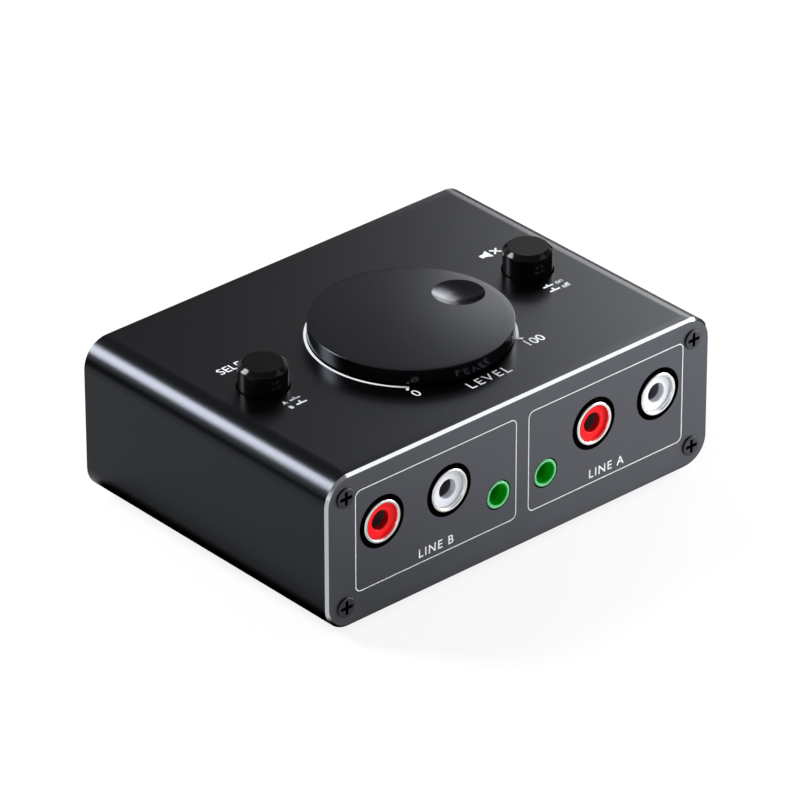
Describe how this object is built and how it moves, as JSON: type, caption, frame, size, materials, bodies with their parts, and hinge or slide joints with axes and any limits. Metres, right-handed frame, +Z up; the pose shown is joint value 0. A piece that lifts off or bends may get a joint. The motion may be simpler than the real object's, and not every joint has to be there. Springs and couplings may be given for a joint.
{
  "type": "audio source selector",
  "caption": "Flat dark aluminium audio selector box with a wide level knob, latching push buttons, and phono and 3.5 mm sockets on its front and rear panels.",
  "frame": {"origin": "under the middle of the case, on the surface that the rubber feet stand on", "axes": "+X to the right along the front panel, -Y out of the front panel, +Z up out of the knob"},
  "size_m": [0.091, 0.0662, 0.0369],
  "materials": {
    "anodised_aluminium": "bead-blasted, dark grey anodised",
    "black_screw": "black oxide",
    "nickel_plate": "bright nickel plate",
    "red_plastic": "moulded",
    "white_plastic": "moulded",
    "green_plastic": "moulded",
    "black_moulding": "moulded",
    "grey_moulding": "moulded",
    "black_button": "satin",
    "bronze": "stamped sheet",
    "tinned_pins": "tinned",
    "steel_sheet": "zinc plated",
    "spring_steel": "drawn wire",
    "brown_laminate": "paper laminate",
    "board_laminate": "green solder mask",
    "rubber_foot": "matt"
  },
  "bodies": {
    "case": {"a_jack_body": "green_plastic", "a_jack_contacts": "bronze", "a_red_socket_contact": "bronze", "a_red_socket_housing": "black_moulding", "a_red_socket_insulator": "red_plastic", "a_red_socket_shell": "nickel_plate", "a_white_socket_contact": "bronze", "a_white_socket_housing": "black_moulding", "a_white_socket_insulator": "white_plastic", "a_white_socket_shell": "nickel_plate", "b_jack_body": "green_plastic", "b_jack_contacts": "bronze", "b_red_socket_contact": "bronze", "b_red_socket_housing": "black_moulding", "b_red_socket_insulator": "red_plastic", "b_red_socket_shell": "nickel_plate", "b_white_socket_contact": "bronze", "b_white_socket_housing": "black_moulding", "b_white_socket_insulator": "white_plastic", "b_white_socket_shell": "nickel_plate", "case_sleeve": "anodised_aluminium", "foot_front_left": "rubber_foot", "foot_front_right": "rubber_foot", "foot_rear_left": "rubber_foot", "foot_rear_right": "rubber_foot", "front_panel": "anodised_aluminium", "front_panel_screws": "black_screw", "level_pot_base": "brown_laminate", "level_pot_bushing": "steel_sheet", "level_pot_housing": "steel_sheet", "level_pot_terminals": "tinned_pins", "main_board": "board_laminate", "mute_spring": "spring_steel", "mute_switch_base": "black_moulding", "mute_switch_housing": "black_moulding", "mute_switch_pins": "tinned_pins", "out_jack_body": "green_plastic", "out_jack_contacts": "bronze", "out_red_socket_contact": "bronze", "out_red_socket_housing": "black_moulding", "out_red_socket_insulator": "red_plastic", "out_red_socket_shell": "nickel_plate", "out_white_socket_contact": "bronze", "out_white_socket_housing": "black_moulding", "out_white_socket_insulator": "white_plastic", "out_white_socket_shell": "nickel_plate", "rear_panel": "anodised_aluminium", "rear_panel_screws": "black_screw", "select_spring": "spring_steel", "select_switch_base": "black_moulding", "select_switch_housing": "black_moulding", "select_switch_pins": "tinned_pins"},
    "knob": {"level_knob": "anodised_aluminium", "level_pot_shaft": "steel_sheet", "level_pot_wiper": "grey_moulding"},
    "select_key": {"select_button": "black_button", "select_plunger": "grey_moulding"},
    "mute_key": {"mute_button": "black_button", "mute_plunger": "grey_moulding"}
  },
  "joints": [
    {"name": "level_turn", "type": "hinge", "parent": "case", "child": "knob", "pos_m": [0, -0.0036, 0.03], "axis": [0, 0, 1], "range_deg": [-50, 220]},
    {"name": "select_press", "type": "slide", "parent": "case", "child": "select_key", "axis": [0, 0, -1], "range_m": [0, 0.0025], "stiffness_N_per_m": 300, "springref_m": -0.004, "deforming": ["select_spring"]},
    {"name": "mute_press", "type": "slide", "parent": "case", "child": "mute_key", "axis": [0, 0, -1], "range_m": [0, 0.0025], "stiffness_N_per_m": 300, "springref_m": -0.004, "deforming": ["mute_spring"]}
  ]
}
